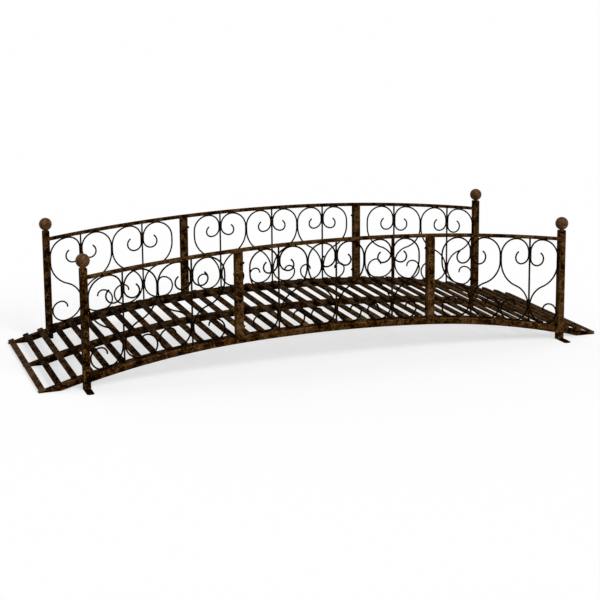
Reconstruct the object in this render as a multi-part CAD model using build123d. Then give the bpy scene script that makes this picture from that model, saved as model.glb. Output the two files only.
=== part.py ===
from build123d import *
from math import asin, atan2, ceil, copysign, cos, degrees, pi, sin, sqrt
import os

# An arched steel garden bridge with scroll-work railings.
# X runs along the bridge, Y across it, Z up. The origin is on the ground, under mid span.
# All lengths are in millimetres, and angles in radians.

# Deck
overall_length = 2286
arch_rise = 130  # ground to the underside of the arch at mid span
crown_radius = 6000  # underside of the arch between the mid posts
toe_height = 1.5  # top of a beam above the ground, at its toe
beam_width = 25
beam_height = 25
slat_width = 23
slat_thickness = 9
slat_count = 39
toe_setback = 14  # end of the bridge to the middle of the last slat

# Posts and their feet
post_row_spacing = 770  # across, between the two rows of end posts
end_post_setback = 173  # end of the bridge to the middle of an end post
end_post_side = 25
end_post_rise = 30  # top of the handrail to the top of an end post
mid_post_spacing = 780
mid_post_side = 30
foot_thickness = 4
foot_reach = 60  # how far a foot stands out beyond its post
foot_corner = 5
bolt_hole_diameter = 9
bolt_hole_reach = 42  # outer face of the post to the middle of the hole

# Ball on top of each end post
ball_diameter = 52
neck_diameter = 18
neck_height = 3

# Rails
handrail_top = 487.5  # at mid span
handrail_radius = 7000
handrail_width = 20
handrail_depth = 12.5
lower_rail_width = 25
lower_rail_height = 25

# Scroll work between the rails
rod = 5
bar_side = 6
weld_bite = 1  # how far two rods melt into each other where they are welded
centre_heart_count = 3
end_heart_count = 2
centre_bay_gap = 28  # mid post to the nearest heart, in the centre bay
end_bay_gap = 35  # mid post to the nearest heart, in an end bay

# Shape of one scroll: the lobe's drop is a share of its own width, the others of the heart's half width
lobe_drop_share = 0.56  # handrail to the widest point
side_run_share = 0.19  # straight run below the widest point
centre_shares = {
    "lobe_fall": 0.495,  # top of the lobe to the curl, along the bar
    "curl": (0.30, 0.18, 0.215),
    "contact_rise": 0.485,  # lower rail to the lower weld on the bar
    "upper_sway": 0.49,  # of the two sway radii together
    "tail": (0.34, 0.22, 0.165),
    "tail_reach": 0.88,  # bar to the farthest point of the tail
}
end_shares = {
    "lobe_fall": 0.565,
    "curl": (0.243, 0.205, 0.215),
    "contact_rise": 0.525,
    "upper_sway": 0.55,
    "tail": (0.33, 0.30, 0.175),
    "tail_reach": 0.965,
}
quarter_turn = pi / 2
curl_tip_turn_share = 0.66  # of a quarter turn
tail_tip_turn_share = 1.08
run_turn_share = 0.39  # most that one straight run of a rod may turn, so that a scroll has few faces

# Places that follow from the sizes above
half_length = overall_length / 2
row_y = post_row_spacing / 2
beam_outer_y = row_y - end_post_side / 2
end_post_x = half_length - end_post_setback
end_post_face = end_post_x - end_post_side / 2
mid_post_x = mid_post_spacing / 2
mid_post_inner_face = mid_post_x - mid_post_side / 2
mid_post_outer_face = mid_post_x + mid_post_side / 2
handrail_centre_z = handrail_top - handrail_radius
end_post_top = handrail_centre_z + sqrt(handrail_radius**2 - end_post_x**2) + end_post_rise

# The end arc goes on smoothly from the crown arc and brings the top of the beam down to the toe
crown_angle = asin(mid_post_x / crown_radius)
crown_centre_z = arch_rise - crown_radius
run = half_length - (crown_radius + beam_height) * sin(crown_angle)
fall = crown_centre_z + (crown_radius + beam_height) * cos(crown_angle) - toe_height
bend = 2 * (fall * cos(crown_angle) - run * sin(crown_angle))
end_radius = (run**2 + fall**2) / bend - beam_height
end_centre_x = (crown_radius - end_radius) * sin(crown_angle)
end_centre_z = crown_centre_z + (crown_radius - end_radius) * cos(crown_angle)
toe_angle = asin((half_length + beam_height - end_centre_x) / end_radius)
slat_pitch = 2 * (half_length - toe_setback) / (slat_count - 1)
rows = {"front": -1, "back": 1}
ends = {"left": -1, "right": 1}


# The arch is a three-centred curve, and lift is measured square to it, up from its underside.
def arch_angle(x, lift):
    crown_line = crown_radius + lift
    if abs(x) <= crown_line * sin(crown_angle):
        return asin(x / crown_line)
    return copysign(asin((abs(x) - end_centre_x) / (end_radius + lift)), x)


def arch_point(angle, lift):
    turn = abs(angle)
    if turn <= crown_angle:
        reach = crown_radius + lift
        return reach * sin(angle), crown_centre_z + reach * cos(angle)
    reach = end_radius + lift
    return copysign(end_centre_x + reach * sin(turn), angle), end_centre_z + reach * cos(turn)


def arch_height(x, lift):
    return arch_point(arch_angle(x, lift), lift)[1]


# Centre and radius of the arch's underside where a bay's lower rail follows it.
def arch_circle(x):
    if abs(x) <= mid_post_x:
        return (0, crown_centre_z), crown_radius
    return (copysign(end_centre_x, x), end_centre_z), end_radius


def handrail_height(x, lift):
    return handrail_centre_z + sqrt((handrail_radius + lift) ** 2 - x**2)


# Faces are drawn in the upright XZ plane and given their depth along Y, to both sides of y.
def upright(face, depth, y):
    return Pos(0, y, 0) * Rot(90, 0, 0) * extrude(face, depth / 2, both=True)


def arch_band(height):
    stops = (-toe_angle, -crown_angle, crown_angle, toe_angle)
    edges = []
    for lift in (0, height):
        for first, last in zip(stops, stops[1:]):
            middle = (first + last) / 2
            edges.append(ThreePointArc(*(arch_point(a, lift) for a in (first, middle, last))))
    for angle in (-toe_angle, toe_angle):
        edges.append(Line(arch_point(angle, 0), arch_point(angle, height)))
    return make_face(edges)


def handrail_band():
    edges = []
    corners = []
    for lift in (-handrail_depth, 0):
        points = [(x, handrail_height(x, lift)) for x in (-end_post_x, 0, end_post_x)]
        edges.append(ThreePointArc(*points))
        corners.append((points[0], points[-1]))
    edges += [Line(below, above) for below, above in zip(*corners)]
    return make_face(edges)


def cut_between(solid, first_x, last_x):
    window = Box(last_x - first_x, overall_length, overall_length)
    return solid & Pos((first_x + last_x) / 2, 0, 0) * window


def deck_beam(y):
    above_ground = Box(
        overall_length, overall_length, overall_length, align=(Align.CENTER, Align.CENTER, Align.MIN)
    )
    return upright(arch_band(beam_height), beam_width, y) & above_ground


def slat(x):
    angle = arch_angle(x, beam_height)
    middle_x, middle_z = arch_point(angle, beam_height + slat_thickness / 2)
    place = Pos(middle_x, 0, middle_z) * Rot(0, degrees(angle), 0)
    return place * Box(slat_width, 2 * beam_outer_y, slat_thickness)


def end_post(x, y):
    height = end_post_top - foot_thickness
    post = Box(end_post_side, end_post_side, height, align=(Align.CENTER, Align.CENTER, Align.MIN))
    return Pos(x, y, foot_thickness) * post


# A foot is a flat plate under its post, drawn out sideways to a bolt hole.
def foot(x, row):
    length = end_post_side + foot_reach
    plate = Rectangle(end_post_side, length, align=(Align.CENTER, Align.MIN))
    plate = chamfer(plate.vertices().sort_by(Axis.Y)[-2:], foot_corner)
    plate -= Pos(0, end_post_side + bolt_hole_reach) * Circle(bolt_hole_diameter / 2)
    turned = Pos(x, row * beam_outer_y, 0) * Rot(0, 0, 0 if row > 0 else 180)
    return turned * extrude(plate, foot_thickness)


# The top and bottom of a mid post are cut to the slope of the rails that it joins.
def mid_post(x, y):
    sides = (x - mid_post_side / 2, x + mid_post_side / 2)
    bottom = [(side, arch_height(side, 0)) for side in sides]
    top = [(side, handrail_height(side, -handrail_depth)) for side in reversed(sides)]
    return upright(make_face(Polyline(*bottom, *top, close=True)), mid_post_side, y)


def ball_finial(x, y):
    radius = ball_diameter / 2
    seat = sqrt(radius**2 - (neck_diameter / 2) ** 2)
    centre = neck_height + seat
    neck = Cylinder(neck_diameter / 2, centre, align=(Align.CENTER, Align.CENTER, Align.MIN))
    return Pos(x, y, end_post_top) * (neck + Pos(0, 0, centre) * Sphere(radius))


# The left and right edges of a rod bent along a chain of tangent arcs, each given by its radius, its
# turn towards the side, and the straight run after it. The corners are on the arcs, at equal turns.
def bent_rod(start, heading, side, bends):
    def square_to(angle):
        return Vector(-sin(angle), cos(angle))

    point = Vector(*start)
    middle = [(point, heading)]
    for radius, turn, straight in bends:
        reach = copysign(radius, side * turn)
        centre = point + square_to(heading) * reach
        steps = ceil(abs(turn) / (run_turn_share * quarter_turn))
        for k in range(steps):
            angle = heading + side * turn * (k + 1) / steps
            middle.append((centre - square_to(angle) * reach, angle))
        point, heading = middle[-1]
        if straight > 0:
            point += Vector(cos(heading), sin(heading)) * straight
            middle.append((point, heading))
    return [[at + square_to(angle) * edge for at, angle in middle] for edge in (rod / 2, -rod / 2)]


# Radius of the arc that starts upright at a point and touches a circle. Outside the circle it turns
# away from the bar, and inside it turns back to the bar.
def touching_radius(point, side, centre, reach):
    across = point[0] - centre[0]
    apart = across**2 + (point[1] - centre[1]) ** 2 - reach**2
    return abs(apart) / (2 * (reach - side * across))


# One scroll, on one side of its bar. Its lobe hangs from the handrail, runs down the bar and curls in.
# From its widest point it sways down to the bar, and ends in a tail that rests on the lower rail.
def scroll(bar_x, side, half_width, shares):
    contact = (bar_side + rod) / 2 - weld_bite
    widest = half_width + weld_bite / 2 - rod / 2
    curl = [share * half_width for share in shares["curl"]]
    tail = [share * half_width for share in shares["tail"]]

    # Neighbours share the height of their widest points
    lobe_drop = lobe_drop_share * (widest - contact) + rod / 2
    widest_z = handrail_height(bar_x + side * half_width, -handrail_depth) - lobe_drop
    top = (bar_x + side * widest, widest_z)
    under_handrail = handrail_radius - handrail_depth - rod / 2
    lobe_outer = touching_radius(top, side, (0, handrail_centre_z), under_handrail)
    lobe_inner = widest - contact - lobe_outer
    bar_run = shares["lobe_fall"] * half_width - lobe_inner

    # The tail leaves the bar upright, touches the lower rail and runs along it
    weld_z = arch_height(bar_x, lower_rail_height) + shares["contact_rise"] * half_width
    weld = (bar_x + side * contact, weld_z)
    arch_centre, arch_radius = arch_circle(bar_x)
    tail_bend = touching_radius(weld, side, arch_centre, arch_radius + lower_rail_height + rod / 2)
    slope = side * atan2(weld[0] + side * tail_bend - arch_centre[0], weld_z - arch_centre[1])
    tail_width = tail_bend * (1 - sin(slope)) + tail[0] * (1 + sin(slope))
    rail_run = (shares["tail_reach"] * half_width - contact - tail_width) / cos(slope)

    side_run = side_run_share * half_width
    drop = widest_z - side_run - weld_z
    sway_turn = 2 * atan2(widest - contact, drop)
    sway = drop / sin(sway_turn)
    upper_sway = shares["upper_sway"] * sway

    upper = [(lobe_outer, quarter_turn, 0), (lobe_inner, quarter_turn, bar_run)]
    upper += [(radius, quarter_turn, 0) for radius in curl[:2]]
    upper.append((curl[2], curl_tip_turn_share * quarter_turn, 0))
    lower = [(upper_sway, -sway_turn, 0), (sway - upper_sway, sway_turn, 0)]
    lower += [(tail_bend, quarter_turn - slope, rail_run), (tail[0], quarter_turn + slope, 0)]
    lower += [(tail[1], quarter_turn, 0), (tail[2], tail_tip_turn_share * quarter_turn, 0)]
    upper_left, upper_right = bent_rod(top, quarter_turn, side, upper)
    lower_left, lower_right = bent_rod((top[0], widest_z - side_run), -quarter_turn, side, lower)
    outline = upper_left[::-1] + lower_right + lower_left[::-1] + upper_right
    return make_face(Polyline(*outline, close=True))


def upright_bar(x):
    places = (x - bar_side / 2, x, x + bar_side / 2)
    bottom = [(place, arch_height(place, lower_rail_height)) for place in places]
    top = [(place, handrail_height(place, -handrail_depth)) for place in places]
    sides = [Line(bottom[k], top[k]) for k in (0, -1)]
    return make_face([ThreePointArc(*bottom), ThreePointArc(*top)] + sides)


# A row of hearts, each a pair of scrolls on an upright bar, welded where they touch.
def scroll_panel(bar_places, half_width, shares, y):
    panel = Part()
    for bar_x in bar_places:
        panel += upright(upright_bar(bar_x), bar_side, y)
        for side in (-1, 1):
            panel += upright(scroll(bar_x, side, half_width, shares), rod, y)
    return panel


def heart_half_width(row_width, count):
    return (row_width - weld_bite) / (2 * count)


parts = {}

for name, y in (("front", -1), ("middle", 0), ("back", 1)):
    parts[f"{name}_beam"] = deck_beam(y * (beam_outer_y - beam_width / 2))

# The last slat at each end is the toe bar, and the others are sorted by bay
slats = {"left_bay_slats": [], "centre_bay_slats": [], "right_bay_slats": []}
last = (slat_count - 1) // 2
for place in range(1 - last, last):
    slat_x = place * slat_pitch
    bay = "centre" if abs(slat_x) < mid_post_x else "left" if slat_x < 0 else "right"
    slats[f"{bay}_bay_slats"].append(slat(slat_x))
for name, solids in slats.items():
    parts[name] = Compound(children=solids)
for name, side in ends.items():
    parts[f"{name}_toe_bar"] = slat(side * last * slat_pitch)

finials = []
for row_name, row in rows.items():
    y = row * row_y
    mid_y = row * (beam_outer_y + mid_post_side / 2)
    rail_y = row * (beam_outer_y + lower_rail_width / 2)
    parts[f"{row_name}_handrail"] = cut_between(
        upright(handrail_band(), handrail_width, y), -end_post_face, end_post_face
    )
    lower_rail = upright(arch_band(lower_rail_height), lower_rail_width, rail_y)
    parts[f"{row_name}_centre_lower_rail"] = cut_between(
        lower_rail, -mid_post_inner_face, mid_post_inner_face
    )
    centre_width = 2 * (mid_post_inner_face - centre_bay_gap)
    half_width = heart_half_width(centre_width, centre_heart_count)
    first = half_width * (1 - centre_heart_count)
    places = [first + 2 * half_width * k for k in range(centre_heart_count)]
    parts[f"{row_name}_centre_scroll_panel"] = scroll_panel(places, half_width, centre_shares, y)
    end_width = end_post_face - mid_post_outer_face - end_bay_gap
    half_width = heart_half_width(end_width, end_heart_count)
    for end_name, end in ends.items():
        name = f"{row_name}_{end_name}"
        bay = sorted((end * mid_post_outer_face, end * end_post_face))
        parts[f"{name}_lower_rail"] = cut_between(lower_rail, *bay)
        outermost = end_post_face - weld_bite / 2
        places = [end * (outermost - half_width * (2 * k + 1)) for k in range(end_heart_count)]
        parts[f"{name}_scroll_panel"] = scroll_panel(places, half_width, end_shares, y)
        parts[f"{name}_end_post"] = end_post(end * end_post_x, y)
        parts[f"{name}_mid_post"] = mid_post(end * mid_post_x, mid_y)
        parts[f"{name}_foot"] = foot(end * end_post_x, row)
        finials.append(ball_finial(end * end_post_x, y))
parts["ball_finials"] = Compound(children=finials)

os.makedirs("parts", exist_ok=True)
for name, part in parts.items():
    export_step(part, f"parts/{name}.step")
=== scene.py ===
import bmesh
import bpy
import numpy as np
from mathutils import Matrix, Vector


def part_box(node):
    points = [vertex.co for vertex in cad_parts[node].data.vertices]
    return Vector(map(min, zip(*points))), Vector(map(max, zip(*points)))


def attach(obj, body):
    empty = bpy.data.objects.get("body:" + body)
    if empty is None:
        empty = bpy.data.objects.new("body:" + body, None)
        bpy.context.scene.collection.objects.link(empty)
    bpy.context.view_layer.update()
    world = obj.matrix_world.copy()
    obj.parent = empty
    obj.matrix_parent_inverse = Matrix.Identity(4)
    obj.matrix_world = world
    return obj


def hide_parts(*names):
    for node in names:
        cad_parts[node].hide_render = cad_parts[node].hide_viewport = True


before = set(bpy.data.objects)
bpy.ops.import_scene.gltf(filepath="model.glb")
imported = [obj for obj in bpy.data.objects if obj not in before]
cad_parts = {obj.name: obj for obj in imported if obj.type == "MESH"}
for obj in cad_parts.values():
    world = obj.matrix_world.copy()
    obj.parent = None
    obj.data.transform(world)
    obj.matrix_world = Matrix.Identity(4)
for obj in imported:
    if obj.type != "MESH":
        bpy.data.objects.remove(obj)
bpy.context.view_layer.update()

# Arched garden bridge in antique bronze: slatted deck, ball-topped posts, scroll-work railings
# Metres, X along the bridge, Y across it, Z up from the ground
rows = {"front": -1, "back": 1}
ends = {"left": -1, "right": 1}


# lowest corner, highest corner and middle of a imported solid
def placeOf(node):
    low, high = (np.array(corner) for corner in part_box(node))
    return low, high, (low + high) / 2


beamLow, beamHigh, beamMiddle = placeOf("back_beam")
endPostLow, endPostHigh, endPostMiddle = placeOf("back_right_end_post")
midPostLow, midPostHigh, midPostMiddle = placeOf("back_right_mid_post")
railLow, railHigh, railMiddle = placeOf("back_centre_lower_rail")
handrailLow, handrailHigh, handrailMiddle = placeOf("back_handrail")
print("frame loaded,", len(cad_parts), "nodes")


# The two curves that everything follows

curves = {"crownRadius": 6.0, "toeHeight": 0.0015, "handrailRadius": 7.0, "handrailDepth": 0.0125}

halfLength = beamHigh[0]
tubeSide = beamHigh[1] - beamLow[1]
crownRise = beamHigh[2] - tubeSide
crownAngle = np.arcsin(midPostMiddle[0] / curves["crownRadius"])
crownCentre = crownRise - curves["crownRadius"]
crownTop = curves["crownRadius"] + tubeSide
run = halfLength - crownTop * np.sin(crownAngle)
fall = crownCentre + crownTop * np.cos(crownAngle) - curves["toeHeight"]
bend = 2 * (fall * np.cos(crownAngle) - run * np.sin(crownAngle))
endRadius = (run**2 + fall**2) / bend - tubeSide
endCentreX = (curves["crownRadius"] - endRadius) * np.sin(crownAngle)
endCentreZ = crownCentre + (curves["crownRadius"] - endRadius) * np.cos(crownAngle)
handrailCentre = handrailHigh[2] - curves["handrailRadius"]


# deck arch: a crown circle between the mid posts, and a tighter circle tangent to it at each end,
# both grown outwards by lift
def archHeight(x, lift):
    crown = crownCentre + np.sqrt((curves["crownRadius"] + lift) ** 2 - x**2)
    end = endCentreZ + np.sqrt((endRadius + lift) ** 2 - (np.abs(x) - endCentreX) ** 2)
    return np.where(np.abs(x) <= (curves["crownRadius"] + lift) * np.sin(crownAngle), crown, end)


# lean of the arch's normal from plumb: arcsine of the distance from the circle's own centre
def archLean(x, lift):
    crown = np.arcsin(x / (curves["crownRadius"] + lift))
    end = np.sign(x) * np.arcsin((np.abs(x) - endCentreX) / (endRadius + lift))
    return np.where(np.abs(x) <= (curves["crownRadius"] + lift) * np.sin(crownAngle), crown, end)


# handrail: one circle, grown outwards by lift
def handrailHeight(x, lift):
    return handrailCentre + np.sqrt((curves["handrailRadius"] + lift) ** 2 - x**2)


# Surfaces

shares = {"cornerFlat": 0.6, "tubeWear": 0.5, "rodBlunt": 0.4, "rodTip": 0.6}


# rounded rectangle about zero: four quarter circles, each with a point on the flat before and after
# it; the second array is 1 on the quarter circles, where the finish wears first
def roundedSection(width, height, corner, steps=4):
    turn = np.linspace(0, np.pi / 2, steps + 1)
    arc = corner * np.stack([np.cos(turn), np.sin(turn)], -1)
    flat = corner * shares["cornerFlat"]
    piece = np.concatenate([[[corner, -flat]], arc, [[-flat, corner]]])
    quarter = np.array([[0, 1], [-1, 0]])
    turned = np.stack([piece @ np.linalg.matrix_power(quarter, k) for k in range(4)])
    signs = np.array([[1, 1], [-1, 1], [-1, -1], [1, -1]])
    centres = signs * (np.array([width, height]) / 2 - corner)
    worn = np.tile(np.concatenate([[0], np.ones(steps + 1), [0]]), 4)
    return (turned + centres[:, None]).reshape(-1, 2), worn


# plumb band: at each x the section stands upright between the low and the high curve
def plumbBand(x, low, high, y, width, corner):
    depth = high - low
    section, worn = roundedSection(width, depth.max(), corner)
    z = (low + high)[:, None] / 2 + section[:, 1] * (depth / depth.max())[:, None]
    grid = np.stack(np.broadcast_arrays(x[:, None], y + section[:, 0], z), -1)
    return grid, np.broadcast_to(worn, grid.shape[:2])


# upright tube: the section carried from the low to the high curve, drawn in by a small bevel at both
# ends, and a little worn all over
def uprightTube(x, y, side, low, high, corner, bevel):
    section, worn = roundedSection(side, side, corner)
    along = np.array([0, 0, 1, 1])
    inset = 1 - 2 * bevel / side * np.array([1, 0, 0, 1])
    step = bevel * np.array([0, 1, -1, 0])
    px = x + section[:, 0] * inset[:, None]
    py = y + section[:, 1] * inset[:, None]
    pz = low(px) + (high(px) - low(px)) * along[:, None] + step[:, None]
    worn = np.maximum(worn, shares["tubeWear"])
    return np.stack([px, py, pz], -1), np.broadcast_to(worn, px.shape)


# round rod: a circle carried along a flat path in the XZ plane, square to the path's heading, with
# its two ends a little narrower
def roundRod(path, heading, y, radius, sides=10):
    tangent = np.stack([np.cos(heading), np.sin(heading)], -1)
    blunt = shares["rodBlunt"] * radius
    first, last = path[:1] + tangent[:1] * blunt, path[-1:] - tangent[-1:] * blunt
    path = np.concatenate([path[:1], first, path[1:-1], last, path[-1:]])
    heading = np.concatenate([heading[:1], heading, heading[-1:]])
    reach = np.full(len(path), radius)
    reach[[0, -1]] *= shares["rodTip"]
    around = np.linspace(0, 2 * np.pi, sides, endpoint=False)
    across = reach[:, None] * np.cos(around)
    x = path[:, :1] - across * np.sin(heading)[:, None]
    z = path[:, 1:] + across * np.cos(heading)[:, None]
    depth = y + reach[:, None] * np.sin(around)
    return np.stack([x, depth, z], -1), np.zeros(x.shape)


# turned shape: radius against distance along an axis, carried round it
def turned(radius, along, centre, axis, around, flats=None):
    angle = np.linspace(0, 2 * np.pi, around, endpoint=False)
    reach = radius[:, None] * np.ones(around) if flats is None else flats(radius, angle)
    first = np.multiply.outer(reach * np.cos(angle), np.roll(axis, 1))
    second = np.multiply.outer(reach * np.sin(angle), np.roll(axis, 2))
    grid = first + second + np.multiply.outer(along, axis)[:, None] + centre
    return grid, np.zeros(grid.shape[:2])


joining = {"plainTone": 0.5, "sharpDegrees": 40}


# joins closed surfaces into one mesh: quads between rows, and a cap on the first and the last row, or
# quads from the last row back to the first; wear and tone are kept for the finish, and the tone also
# carries painted shade and painted sheen on some pieces
def makePiece(name, surfaces, material, replaced=(), tonesAndShade=None, capped=True):
    points, faces, wear, toneAndShade, start = [], [], [], [], 0
    tonesAndShade = [joining["plainTone"]] * len(surfaces) if tonesAndShade is None else tonesAndShade
    for number, (grid, worn) in enumerate(surfaces):
        count, around = grid.shape[:2]
        index = start + np.arange(count * around).reshape(count, around)
        if capped:
            faces += [index[0, ::-1].tolist(), index[-1].tolist()]
        else:
            index = np.concatenate([index, index[:1]])
        after = np.roll(index, -1, 1)
        faces += np.stack([index[:-1], after[:-1], after[1:], index[1:]], -1).reshape(-1, 4).tolist()
        points.append(grid.reshape(-1, 3))
        wear.append(np.ravel(worn))
        toneAndShade.append(np.full(count * around, tonesAndShade[number]))
        start += count * around
    mesh = bpy.data.meshes.new(name)
    mesh.from_pydata(np.concatenate(points), [], faces)
    for label, values in (("wear", wear), ("toneAndShade", toneAndShade)):
        mesh.attributes.new(label, "FLOAT", "POINT").data.foreach_set("value", np.concatenate(values))
    shell = bmesh.new()
    shell.from_mesh(mesh)
    bmesh.ops.recalc_face_normals(shell, faces=shell.faces)
    shell.to_mesh(mesh)
    shell.free()
    mesh.polygons.foreach_set("use_smooth", np.ones(len(mesh.polygons), bool))
    mesh.set_sharp_from_angle(angle=np.radians(joining["sharpDegrees"]))
    mesh.materials.append(material)
    piece = bpy.data.objects.new(name, mesh)
    bpy.context.scene.collection.objects.link(piece)
    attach(piece, "root")
    if replaced:
        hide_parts(*replaced)
    return piece


# Finishes

def addNode(tree, kind, **values):
    node = tree.nodes.new(kind)
    for key, value in values.items():
        if key in node.inputs:
            node.inputs[key].default_value = value
        else:
            setattr(node, key, value)
    return node


def addMath(tree, operation, first, second):
    node = tree.nodes.new("ShaderNodeMath")
    node.operation = operation
    for socket, value in zip(node.inputs, (first, second)):
        if isinstance(value, (int, float)):
            socket.default_value = value
        else:
            tree.links.new(value, socket)
    return node.outputs[0]


def addRamp(tree, factor, stops):
    ramp = tree.nodes.new("ShaderNodeValToRGB")
    elements = ramp.color_ramp.elements
    elements[0].position, elements[0].color = stops[0][0], (*stops[0][1], 1)
    elements[1].position, elements[1].color = stops[-1][0], (*stops[-1][1], 1)
    for place, colour in stops[1:-1]:
        elements.new(place).color = (*colour, 1)
    tree.links.new(factor, ramp.inputs[0])
    return ramp.outputs[0]


noises = {
    "blotch": {"Detail": 5, "Roughness": 0.62, "Distortion": 0.4},
    "grain": {"Detail": 3, "Roughness": 0.6},
}


# antique bronze paint: broad blotches and fine grain, added and put through a ramp from near black to
# brown; worn corners are browner, and the same sum also lifts the surface
def bronzeFinish(name, look):
    material = bpy.data.materials.new(name)
    material.use_nodes = True
    tree = material.node_tree
    shader = tree.nodes["Principled BSDF"]
    place = addNode(tree, "ShaderNodeTexCoord").outputs["Object"]
    blotch = addNode(tree, "ShaderNodeTexNoise", Scale=look["blotchScale"], **noises["blotch"])
    grain = addNode(tree, "ShaderNodeTexNoise", Scale=look["grainScale"], **noises["grain"])
    for noise in (blotch, grain):
        tree.links.new(place, noise.inputs["Vector"])
    wear = addNode(tree, "ShaderNodeAttribute", attribute_name="wear").outputs["Fac"]
    toneAndShade = addNode(tree, "ShaderNodeAttribute", attribute_name="toneAndShade").outputs["Fac"]
    mixed = addMath(tree, "MULTIPLY", blotch.outputs["Fac"], 1 - look["grainShare"])
    mixed = addMath(tree, "ADD", mixed, addMath(tree, "MULTIPLY", grain.outputs["Fac"], look["grainShare"]))
    # the tone attribute shifts the sum: the back railing's pieces carry painted shade in it, and the slats
    # carry painted sheen, lighter to the right
    fromPlain = addMath(tree, "SUBTRACT", toneAndShade, joining["plainTone"])
    shift = addMath(tree, "MULTIPLY", fromPlain, look["toneAndShadeSpread"])
    worn = addMath(tree, "MULTIPLY", addMath(tree, "MULTIPLY", wear, grain.outputs["Fac"]), look["wear"])
    mixed = addMath(tree, "ADD", addMath(tree, "ADD", mixed, shift), worn)
    tree.links.new(addRamp(tree, mixed, look["colours"]), shader.inputs["Base Color"])
    rough = addNode(tree, "ShaderNodeMapRange")
    for socket, value in zip(("To Min", "To Max"), look["roughness"]):
        rough.inputs[socket].default_value = value
    tree.links.new(grain.outputs["Fac"], rough.inputs["Value"])
    tree.links.new(rough.outputs[0], shader.inputs["Roughness"])
    bump = addNode(tree, "ShaderNodeBump", Strength=look["bump"], Distance=look["bumpDepth"])
    tree.links.new(mixed, bump.inputs["Height"])
    tree.links.new(bump.outputs[0], shader.inputs["Normal"])
    shader.inputs["Metallic"].default_value = look["metallic"]
    shader.inputs["Specular IOR Level"].default_value = look["specular"]
    return material


frameLook = {
    "blotchScale": 34, "grainScale": 130, "grainShare": 0.45, "toneAndShadeSpread": 0.12, "wear": 0.08,
    "colours": [
        (0.39, (0.0028, 0.0009, 0.0001)), (0.45, (0.0115, 0.0040, 0.0004)), (0.50, (0.042, 0.0176, 0.0042)),
        (0.565, (0.080, 0.0380, 0.0120)), (0.66, (0.130, 0.0680, 0.0260)),
    ],
    "roughness": (0.64, 0.46), "bump": 0.20, "bumpDepth": 0.0005, "metallic": 0.05, "specular": 0.0,
}
deckLook = dict(
    frameLook, toneAndShadeSpread=0.10, blotchScale=26, grainShare=0.40,
    colours=[
        (0.39, (0.0022, 0.0008, 0.0001)), (0.45, (0.0068, 0.0025, 0.0004)), (0.50, (0.025, 0.0112, 0.0036)),
        (0.565, (0.058, 0.0290, 0.0105)), (0.66, (0.110, 0.0600, 0.0270)),
    ],
)
scrollLook = dict(
    frameLook, blotchScale=60, toneAndShadeSpread=0.40, wear=0.0, bump=0.10,
    colours=[
        (0.40, (0.0018, 0.0010, 0.0004)), (0.54, (0.0050, 0.0030, 0.0011)), (0.72, (0.045, 0.0200, 0.0060)),
    ],
)
finialLook = dict(
    frameLook, blotchScale=60, grainScale=260, grainShare=0.5, specular=0.06, bump=0.15,
    colours=[
        (0.38, (0.022, 0.0080, 0.0010)), (0.45, (0.052, 0.0215, 0.0055)), (0.51, (0.086, 0.0400, 0.0130)),
        (0.62, (0.170, 0.0900, 0.0430)),
    ],
    roughness=(0.58, 0.40),
)

frameBronze = bronzeFinish("frameBronze", frameLook)
deckBronze = bronzeFinish("deckBronze", deckLook)
scrollIron = bronzeFinish("scrollIron", scrollLook)
finialBronze = bronzeFinish("finialBronze", finialLook)
print("finishes made")


# Deck

beams = {"corner": 0.0025, "stations": 96, "middleSetback": 0.003,
         "tonesAndShade": {"front": 0.18, "middle": 0.28, "back": 0.15}}


# beam: plumb band under the arch, its lower edge stopped by the ground, so the toes are flat
def makeBeam(name, y, reach):
    x = np.linspace(-reach, reach, beams["stations"] * 2 + 1)
    low, high = np.maximum(archHeight(x, 0), 0), archHeight(x, tubeSide)
    surface = plumbBand(x, low, high, y, tubeSide, beams["corner"])
    toneAndShade = beams["tonesAndShade"][name]
    makePiece(f"{name}_beam_tube", [surface], frameBronze, [f"{name}_beam"], [toneAndShade])


makeBeam("front", -beamMiddle[1], halfLength)
makeBeam("middle", 0, halfLength - beams["middleSetback"])
makeBeam("back", beamMiddle[1], halfLength)
print("beams made")

slats = {
    "width": 0.023, "thickness": 0.010, "sink": 0.001, "count": 39, "toeSetback": 0.014, "corner": 0.0016,
    "cornerSteps": 3, "endShare": 0.9,
    "seed": 4, "toneRange": (0.1, 0.9), "sheenTrend": (-0.50, 0.50), "toeTone": 1.25,
}
slatX = np.linspace(-1, 1, slats["count"]) * (halfLength - slats["toeSetback"])
slatTonesAndSheen = np.random.default_rng(slats["seed"]).uniform(*slats["toneRange"], slats["count"])
# painted sheen: the trend lightens the slats towards the right end; each slat's own tone differs at random
slatTonesAndSheen += np.linspace(*slats["sheenTrend"], slats["count"])  # darker to the left
slatTonesAndSheen[[0, -1]] = slats["toeTone"]


# slat: rounded section laid square to the arch and carried across the deck, a little sunk in the beams and
# drawn in at both ends
def slatSurface(x):
    sizes = (slats[key] for key in ("width", "thickness", "corner", "cornerSteps"))
    section, worn = roundedSection(*sizes)
    lean = archLean(x, tubeSide)
    lift = slats["thickness"] / 2 - slats["sink"]
    middleZ = archHeight(x, tubeSide) + np.cos(lean) * lift
    reach = beamHigh[1]
    draw = slats["corner"] / 2
    y = np.array([-reach, -reach + draw, reach - draw, reach])
    inset = np.array([slats["endShare"], 1, 1, slats["endShare"]])[:, None]
    u, v = section[:, 0] * inset, section[:, 1] * inset
    px = x + np.sin(lean) * lift + u * np.cos(lean) + v * np.sin(lean)
    pz = middleZ - u * np.sin(lean) + v * np.cos(lean)
    grid = np.stack([px, np.broadcast_to(y[:, None], px.shape), pz], -1)
    return grid, np.broadcast_to(worn, px.shape)


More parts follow.
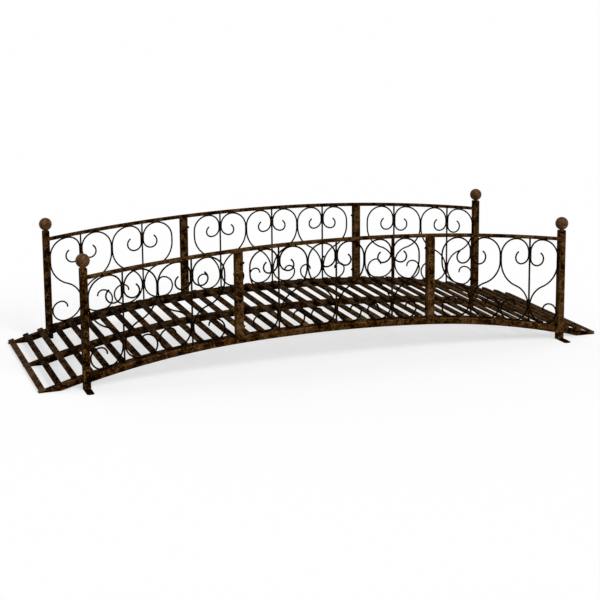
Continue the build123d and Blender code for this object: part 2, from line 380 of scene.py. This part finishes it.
inCentre = np.abs(slatX) < midPostMiddle[0]
inner = np.arange(slats["count"])[1:-1]
groups = {
    "left_toe_bar": [0],
    "left_bay_slats": [k for k in inner if not inCentre[k] and slatX[k] < 0],
    "centre_bay_slats": [k for k in inner if inCentre[k]],
    "right_bay_slats": [k for k in inner if not inCentre[k] and slatX[k] > 0],
    "right_toe_bar": [slats["count"] - 1],
}
for node, numbers in groups.items():
    surfaces = [slatSurface(slatX[k]) for k in numbers]
    makePiece(f"{node}_tube", surfaces, deckBronze, [node], slatTonesAndSheen[numbers])
print("slats made")


# Posts

posts = {
    "corner": 0.0025, "bevel": 0.0012, "grow": 0.0022,
    "midCorner": 0.003, "midBevel": 0.0003, "midLift": 0.002,
    # the back row's posts are darker: painted shade on the far railing; the left end posts are also darker
    # than the right ones
    "tonesAndShade": {"front_left": 0.08, "front_right": 0.52, "back_left": -0.05, "back_right": 0.28},
    "midTonesAndShade": {"front_left": 0.50, "front_right": 0.48, "back_left": 0.12, "back_right": 0.25},
}
endSide = endPostHigh[0] - endPostLow[0] + posts["grow"]
midSide = midPostHigh[0] - midPostLow[0]


def endPost(rowName, endName):
    x, y = ends[endName] * endPostMiddle[0], rows[rowName] * endPostMiddle[1]
    bottom, top = lambda px: 0 * px + endPostLow[2], lambda px: 0 * px + endPostHigh[2]
    surface = uprightTube(x, y, endSide, bottom, top, posts["corner"], posts["bevel"])
    node = f"{rowName}_{endName}_end_post"
    toneAndShade = posts["tonesAndShade"][f"{rowName}_{endName}"]
    makePiece(f"{node}_tube", [surface], frameBronze, [node], [toneAndShade])


# a mid post stands from a little above the underside of the arch up to the underside of the handrail
def midPost(rowName, endName):
    x, y = ends[endName] * midPostMiddle[0], rows[rowName] * midPostMiddle[1]
    bottom = lambda px: archHeight(px, 0) + posts["midLift"]
    top = lambda px: handrailHeight(px, -curves["handrailDepth"])
    surface = uprightTube(x, y, midSide, bottom, top, posts["midCorner"], posts["midBevel"])
    node = f"{rowName}_{endName}_mid_post"
    toneAndShade = posts["midTonesAndShade"][f"{rowName}_{endName}"]
    makePiece(f"{node}_tube", [surface], frameBronze, [node], [toneAndShade])


for rowName in rows:
    for endName in ends:
        endPost(rowName, endName)
        midPost(rowName, endName)
print("posts made")

feet = {"chamfer": 0.005, "hole": 0.009, "holeReach": 0.042, "edge": 0.0007, "around": 60, "least": 1e-6}


# foot plate: rings round the bolt hole, up its wall, out over the top to the outline, down and back under;
# the outline is where a ray from the hole leaves the plate: the least, over its sides, of the side's
# distance over the ray's share towards it
def footSurface(rowName, endName):
    low, high, middle = placeOf(f"{rowName}_{endName}_foot")
    row, chamfer, thick = rows[rowName], feet["chamfer"], high[2] - low[2]
    half = (high[0] - low[0] + posts["grow"]) / 2
    hole = np.array([middle[0], row * (endPostHigh[1] + feet["holeReach"])])
    inner, outer = np.abs(np.array([low[1], high[1]])[::row] - hole[1])
    corners = np.array([(half, outer - chamfer), (half - chamfer, outer), (half, -inner)])
    corners = np.concatenate([corners, corners * (-1, 1)])
    normals = np.array([(1, 0), (-1, 0), (0, 1), (0, -1), (1, 1), (-1, 1)])
    slant = half + outer - chamfer
    reach = np.array([half, half, outer, inner, slant, slant])
    even = np.linspace(-np.pi, np.pi, feet["around"], endpoint=False)
    angle = np.sort(np.concatenate([even, np.arctan2(corners[:, 1], corners[:, 0])]))
    ray = np.stack([np.cos(angle), np.sin(angle)], -1)
    radius = np.min(reach / np.maximum(ray @ normals.T, feet["least"]), 1)
    edge, bore = feet["edge"], np.full(len(angle), feet["hole"] / 2)
    rings = np.stack([bore + edge, bore, bore, bore + edge, radius - edge, radius, radius, radius - edge])
    heights = np.array([0, edge, thick - edge, thick, thick, thick - edge, edge, 0])
    plan = rings[..., None] * ray * (1, row) + hole
    z = np.broadcast_to(heights[:, None, None], (*rings.shape, 1))
    return np.concatenate([plan, z], -1), np.zeros(rings.shape)


for rowName in rows:
    for endName in ends:
        node = f"{rowName}_{endName}_foot"
        surface = footSurface(rowName, endName)
        makePiece(f"{node}_plate", [surface], scrollIron, [node], capped=False)
print("feet made")


# Rails

rails = {
    "corner": 0.0025, "handCorner": 0.0018, "stations": 60,
    # the back row's rails and handrail are darker: painted shade on the far railing; the lower rails are
    # also darker towards the left end
    "tonesAndShade": {"front": {"left": 0.28, "centre": 0.42, "right": 0.44, "hand": 0.48},
              "back": {"left": 0.10, "centre": 0.15, "right": 0.22, "hand": 0.14}},
}
endFace = endPostLow[0]
midInner, midOuter = midPostLow[0], midPostHigh[0]


def railTube(node, first, last, low, high, y, width, corner, toneAndShade):
    x = np.linspace(first, last, rails["stations"])
    surface = plumbBand(x, low(x), high(x), y, width, corner)
    makePiece(f"{node}_tube", [surface], frameBronze, [node], [toneAndShade])


for rowName, row in rows.items():
    handUnder = lambda x: handrailHeight(x, -curves["handrailDepth"])
    handOver = lambda x: handrailHeight(x, 0)
    railUnder = lambda x: archHeight(x, 0)
    railOver = lambda x: archHeight(x, tubeSide)
    handWidth = handrailHigh[1] - handrailLow[1]
    railWidth = railHigh[1] - railLow[1]
    railTube(f"{rowName}_handrail", -endFace, endFace, handUnder, handOver,
             row * handrailMiddle[1], handWidth, rails["handCorner"], rails["tonesAndShade"][rowName]["hand"])
    spans = {"left": (-endFace, -midOuter), "centre": (-midInner, midInner), "right": (midOuter, endFace)}
    for bay, span in spans.items():
        railTube(f"{rowName}_{bay}_lower_rail", *span, railUnder, railOver,
                 row * railMiddle[1], railWidth, rails["corner"], rails["tonesAndShade"][rowName][bay])
print("rails made")


# Scroll work

scrolls = {
    "rod": 0.005, "round": 0.0066, "bar": 0.006, "barTone": 0.70, "barCorner": 0.001, "barBevel": 0.0001,
    "weldBite": 0.001, "stepTurn": np.radians(7), "lobeDropShare": 0.56, "sideRunShare": 0.19,
    "curlTip": 0.66, "tailTip": 1.08,
    "centre": {
        "hearts": 3, "gap": 0.028, "lobeFall": 0.495, "curl": (0.30, 0.18, 0.215), "weldRise": 0.485,
        "upperSway": 0.49, "tail": (0.34, 0.22, 0.165), "tailReach": 0.88,
    },
    "end": {
        "hearts": 2, "gap": 0.035, "lobeFall": 0.565, "curl": (0.243, 0.205, 0.215), "weldRise": 0.525,
        "upperSway": 0.55, "tail": (0.33, 0.30, 0.175), "tailReach": 0.965,
    },
}
welds = {
    "around": 12, "rings": 8, "pole": 0.15, "ripple": 0.12, "waves": (3, 4), "seed": 11,
    "flat": (0.0050, 0.0032, 0.0016), "upright": (0.0018, 0.0030, 0.0034), "bar": (0.0048, 0.0046, 0.0016),
}
rowY = endPostMiddle[1]
contacts = []


# tangent arcs laid end to end: each turns about a centre square to the heading where it begins, and may
# be followed by a straight run
def bentPath(start, heading, side, bends):
    points, headings = [np.array([start])], [np.array([heading])]
    for radius, turn, straight in bends:
        reach = np.copysign(radius, side * turn)
        centre = points[-1][-1] + reach * np.array([-np.sin(heading), np.cos(heading)])
        steps = int(np.ceil(abs(turn) / scrolls["stepTurn"]))
        angle = heading + side * turn * np.arange(1, steps + 1) / steps
        points.append(centre - reach * np.stack([-np.sin(angle), np.cos(angle)], -1))
        headings.append(angle)
        heading = angle[-1]
        if straight > 0:
            points.append(points[-1][-1:] + straight * np.array([[np.cos(heading), np.sin(heading)]]))
            headings.append(angle[-1:])
    return np.concatenate(points), np.concatenate(headings)


# radius of the arc that starts upright at a point and touches a circle: the difference of the squared
# distance to the centre and the squared radius, over twice the radius less the distance across
def touchingRadius(point, side, centre, reach):
    across = point[0] - centre[0]
    apart = across**2 + (point[1] - centre[1]) ** 2 - reach**2
    return abs(apart) / (2 * (reach - side * across))


# one scroll beside its bar: lobe under the handrail, run down the bar, curl; then sway down from the
# widest point to the bar, and tail along the lower rail; the welds' places are kept
def scrollRod(barX, side, halfWidth, shape, y):
    rod, quarter = scrolls["rod"], np.pi / 2
    contact = (scrolls["bar"] + rod) / 2 - scrolls["weldBite"]
    widest = halfWidth + scrolls["weldBite"] / 2 - rod / 2
    curl, tail = (halfWidth * np.array(shape[key]) for key in ("curl", "tail"))
    drop = scrolls["lobeDropShare"] * (widest - contact) + rod / 2
    handUnder = handrailHeight(barX + side * halfWidth, -curves["handrailDepth"])
    top = np.array([barX + side * widest, handUnder - drop])
    underHandrail = curves["handrailRadius"] - curves["handrailDepth"] - rod / 2
    outer = touchingRadius(top, side, (0, handrailCentre), underHandrail)
    inner = widest - contact - outer
    barRun = shape["lobeFall"] * halfWidth - inner
    weld = (barX + side * contact, archHeight(barX, tubeSide) + shape["weldRise"] * halfWidth)
    inCrown = abs(barX) <= midPostMiddle[0]
    archCentre = (0, crownCentre) if inCrown else (np.copysign(endCentreX, barX), endCentreZ)
    archReach = (curves["crownRadius"] if inCrown else endRadius) + tubeSide + rod / 2
    tailBend = touchingRadius(weld, side, archCentre, archReach)
    bendX = weld[0] + side * tailBend
    lean = np.arctan2(bendX - archCentre[0], weld[1] - archCentre[1])
    slope = side * lean
    tailWidth = tailBend * (1 - np.sin(slope)) + tail[0] * (1 + np.sin(slope))
    railRun = (shape["tailReach"] * halfWidth - contact - tailWidth) / np.cos(slope)
    sideRun = scrolls["sideRunShare"] * halfWidth
    fallZ = top[1] - sideRun - weld[1]
    swayTurn = 2 * np.arctan2(widest - contact, fallZ)
    sway = fallZ / np.sin(swayTurn)
    upperSway = shape["upperSway"] * sway
    upper = [
        (outer, quarter, 0), (inner, quarter, barRun),
        (curl[0], quarter, 0), (curl[1], quarter, 0), (curl[2], scrolls["curlTip"] * quarter, 0),
    ]
    lower = [
        (upperSway, -swayTurn, 0), (sway - upperSway, swayTurn, 0), (tailBend, quarter - slope, railRun),
        (tail[0], quarter + slope, 0), (tail[1], quarter, 0), (tail[2], scrolls["tailTip"] * quarter, 0),
    ]
    up, upHeading = bentPath(top, quarter, side, upper)
    down, downHeading = bentPath(top - (0, sideRun), -quarter, side, lower)
    path = np.concatenate([up[::-1], down])
    heading = np.concatenate([upHeading[::-1] + np.pi, downHeading])
    touchX = bendX - tailBend * np.sin(lean)
    contacts.extend([
        (top[0] - side * outer, y, top[1] + outer + rod / 2, *welds["flat"]),
        (barX + side * contact, y, top[1] + outer - inner - barRun / 2, *welds["upright"]),
        (barX + side * contact, y, weld[1], *welds["upright"]),
        (touchX, y, archHeight(touchX, tubeSide), *welds["flat"]),
        (barX + side * halfWidth, y, top[1] - sideRun / 2, *welds["upright"]),
    ])
    return roundRod(path, heading, y, scrolls["round"] / 2)


def uprightBar(x, y):
    bottom = lambda px: archHeight(px, tubeSide)
    top = lambda px: handrailHeight(px, -curves["handrailDepth"])
    contacts.extend([(x, y, bottom(x), *welds["bar"]), (x, y, top(x), *welds["bar"])])
    return uprightTube(x, y, scrolls["bar"], bottom, top, scrolls["barCorner"], scrolls["barBevel"])


def scrollPanel(node, bars, halfWidth, shape, y):
    surfaces = [uprightBar(x, y) for x in bars]
    surfaces += [scrollRod(x, side, halfWidth, shape, y) for x in bars for side in (-1, 1)]
    tonesAndShade = np.where(np.arange(len(surfaces)) < len(bars), scrolls["barTone"], joining["plainTone"])
    makePiece(f"{node}_rods", surfaces, scrollIron, [node], tonesAndShade)


for rowName, row in rows.items():
    y = row * rowY
    bite = scrolls["weldBite"]
    shape = scrolls["centre"]
    halfWidth = (2 * (midInner - shape["gap"]) - bite) / (2 * shape["hearts"])
    bars = halfWidth * (2 * np.arange(shape["hearts"]) + 1 - shape["hearts"])
    scrollPanel(f"{rowName}_centre_scroll_panel", bars, halfWidth, shape, y)
    shape = scrolls["end"]
    halfWidth = (endFace - midOuter - shape["gap"] - bite) / (2 * shape["hearts"])
    for endName, end in ends.items():
        bars = end * (endFace - bite / 2 - halfWidth * (2 * np.arange(shape["hearts"]) + 1))
        scrollPanel(f"{rowName}_{endName}_scroll_panel", bars, halfWidth, shape, y)
print("scroll work made,", len(contacts), "welds")


# weld beads: a ball stretched along three axes, its radius rippled by two waves of random phase
def weldSurfaces(beads):
    beads = np.array(beads)
    phase = np.random.default_rng(welds["seed"]).uniform(0, 2 * np.pi, (2, len(beads), 1, 1))
    angle = np.linspace(0, 2 * np.pi, welds["around"], endpoint=False)
    polar = np.linspace(welds["pole"], np.pi - welds["pole"], welds["rings"])[:, None]
    level = np.sin(polar)
    ball = np.stack(np.broadcast_arrays(level * np.cos(angle), level * np.sin(angle), np.cos(polar)), -1)
    aboutWaves, downWaves = welds["waves"]
    about, down = np.sin(aboutWaves * angle + phase[0]), np.sin(downWaves * polar + phase[1])
    ripple = 1 + welds["ripple"] * about * down
    grids = beads[:, None, None, :3] + ball * ripple[..., None] * beads[:, None, None, 3:]
    return [(grid, np.zeros(grid.shape[:2])) for grid in grids]


makePiece("scroll_welds", weldSurfaces(contacts), scrollIron)
print("welds made")

nuts = {
    "heights": (0.422, 0.180), "washer": 0.0062, "washerDepth": 0.0011, "flat": 0.005, "nutDepth": 0.0062,
    "stud": 0.003, "studDepth": 0.0091, "edge": 0.0006, "step": 0.0001, "around": 24,
    "seatShare": 0.96, "crownShare": 0.93, "tipShare": 0.7,
}


# nut on a stud: washer, hexagon with turned corners, thread end, along the axis; the hexagon's radius
# is its flat over the cosine of the angle to the nearest flat
def nutSurface(x, y, z, direction):
    washer, flat, stud, edge, step = (nuts[key] for key in ("washer", "flat", "stud", "edge", "step"))
    base, crown, tip = nuts["washerDepth"], nuts["nutDepth"] - step, nuts["studDepth"]
    rings = np.array([
        (0, washer, 0), (base, washer, 0),
        (base + step, flat * nuts["seatShare"], 1), (base + 2 * step, flat, 1),
        (crown - edge, flat, 1), (crown, flat * nuts["crownShare"], 0),
        (crown + step, stud, 0), (tip - edge, stud, 0), (tip, stud * nuts["tipShare"], 0),
    ])
    along, radius, hexagon = rings.T

    def flats(radius, angle):
        nearest = np.mod(angle, np.pi / 3) - np.pi / 6
        return radius[:, None] * (1 + hexagon[:, None] * (1 / np.cos(nearest) - 1))

    axis = np.array([1.0, 0, 0])
    return turned(radius, along * direction, np.array([x, y, z]), axis, nuts["around"], flats)


surfaces = [nutSurface(end * midInner, row * midPostMiddle[1], z, -end)
            for row in rows.values() for end in ends.values() for z in nuts["heights"]]
makePiece("mid_post_nuts", surfaces, scrollIron)
print("nuts made")

balls = {
    "diameter": 0.052, "neck": 0.018, "neckHeight": 0.003, "around": 48, "rings": 30, "pole": 0.02,
    "flare": ((0, 1.25), (0.0008, 1.06), (0.0016, 1)),
}


# ball on a short neck that flares at its foot: a circle turned about the post's axis, from where the neck
# meets it up to the top
def ballSurface(x, y):
    radius, neck = balls["diameter"] / 2, balls["neck"] / 2
    seat = np.sqrt(radius**2 - neck**2)
    polar = np.linspace(np.arccos(-seat / radius), balls["pole"], balls["rings"])
    foot, share = np.array(balls["flare"]).T
    reach = np.concatenate([neck * share, radius * np.sin(polar)])
    along = np.concatenate([foot, balls["neckHeight"] + seat + radius * np.cos(polar)])
    return turned(reach, along, np.array([x, y, endPostHigh[2]]), np.array([0, 0, 1.0]), balls["around"])


surfaces = [ballSurface(end * endPostMiddle[0], row * rowY)
            for row in rows.values() for end in ends.values()]
makePiece("ball_finials_turned", surfaces, finialBronze, ["ball_finials"])
print("balls made")


# Stage

stage = {"floorSize": 60.0, "floorColour": 0.48, "lift": 0.58, "drop": 0.0004, "ambient": 0.30}


# 1 for a ray from the camera, or one that gloss or glass sends on, so that all show the same background
def seenRay(tree):
    path = addNode(tree, "ShaderNodeLightPath")
    sent = addMath(tree, "MAXIMUM", path.outputs["Is Glossy Ray"], path.outputs["Is Transmission Ray"])
    return addMath(tree, "MAXIMUM", path.outputs["Is Camera Ray"], sent)


# floor: pale and matt; where it is seen it also glows, so that it comes out white but for the shadow
def makeFloor():
    half = stage["floorSize"] / 2
    mesh = bpy.data.meshes.new("floor")
    corners = half * np.array([(-1, -1, 0), (1, -1, 0), (1, 1, 0), (-1, 1, 0)]) - (0, 0, stage["drop"])
    mesh.from_pydata(corners, [], [(0, 1, 2, 3)])
    material = bpy.data.materials.new("paleFloor")
    material.use_nodes = True
    tree = material.node_tree
    tree.nodes.remove(tree.nodes["Principled BSDF"])
    matt = addNode(tree, "ShaderNodeBsdfDiffuse", Color=(stage["floorColour"],) * 3 + (1,))
    glow = addNode(tree, "ShaderNodeEmission")
    tree.links.new(addMath(tree, "MULTIPLY", seenRay(tree), stage["lift"]), glow.inputs["Strength"])
    both = addNode(tree, "ShaderNodeAddShader")
    tree.links.new(matt.outputs[0], both.inputs[0])
    tree.links.new(glow.outputs[0], both.inputs[1])
    tree.links.new(both.outputs[0], tree.nodes["Material Output"].inputs["Surface"])
    mesh.materials.append(material)
    floor = bpy.data.objects.new("floor", mesh)
    bpy.context.scene.collection.objects.link(floor)


def makeWorld():
    world = bpy.data.worlds.new("studio")
    world.use_nodes = True
    tree = world.node_tree
    background = tree.nodes["Background"]
    background.inputs["Color"].default_value = (1, 1, 1, 1)
    extra = addMath(tree, "MULTIPLY", seenRay(tree), 1 - stage["ambient"])
    tree.links.new(addMath(tree, "ADD", extra, stage["ambient"]), background.inputs["Strength"])
    bpy.context.scene.world = world


lamps = {
    "key": {"from": (0.26, -0.79, 0.56), "strength": 2.5, "angle": 30},
    "back": {"from": (-0.50, 0.75, 0.43), "strength": 0.9, "angle": 60},
}


# turns -Z towards a direction, with +Y as near upright as it can be
def aimed(place, ahead):
    ahead = np.array(ahead, float) / np.linalg.norm(ahead)
    right = np.cross(ahead, (0, 0, 1.0))
    right /= np.linalg.norm(right)
    up = np.cross(right, ahead)
    matrix = np.eye(4)
    matrix[:3, 0], matrix[:3, 1], matrix[:3, 2], matrix[:3, 3] = right, up, -ahead, place
    return matrix


def makeLamps():
    for name, lamp in lamps.items():
        light = bpy.data.lights.new(name, "SUN")
        light.energy = lamp["strength"]
        light.angle = np.radians(lamp["angle"])
        holder = bpy.data.objects.new(name, light)
        holder.matrix_world = Matrix(aimed(lamp["from"], np.negative(lamp["from"])).tolist())
        bpy.context.scene.collection.objects.link(holder)


camera = {"place": (-1.9331, -5.4183, 1.5436), "yaw": 19.563, "pitch": 9.957, "roll": -0.469,
          "focalPixels": 1448.6, "imagePixels": 600, "axisRow": 210, "sensor": 36.0}


def makeCamera():
    yaw, pitch, roll = (np.radians(camera[key]) for key in ("yaw", "pitch", "roll"))
    ahead = (np.sin(yaw) * np.cos(pitch), np.cos(yaw) * np.cos(pitch), -np.sin(pitch))
    matrix = Matrix(aimed(camera["place"], ahead).tolist()) @ Matrix.Rotation(roll, 4, "Z")
    data = bpy.data.cameras.new("photoCamera")
    data.sensor_width = camera["sensor"]
    data.lens = camera["focalPixels"] / camera["imagePixels"] * camera["sensor"]
    data.shift_y = camera["axisRow"] / camera["imagePixels"] - 0.5
    holder = bpy.data.objects.new("photoCamera", data)
    holder.matrix_world = matrix
    bpy.context.scene.collection.objects.link(holder)
    bpy.context.scene.camera = holder


makeFloor()
makeWorld()
makeLamps()
makeCamera()
bpy.context.scene.view_settings.view_transform = "Standard"
print("stage set")
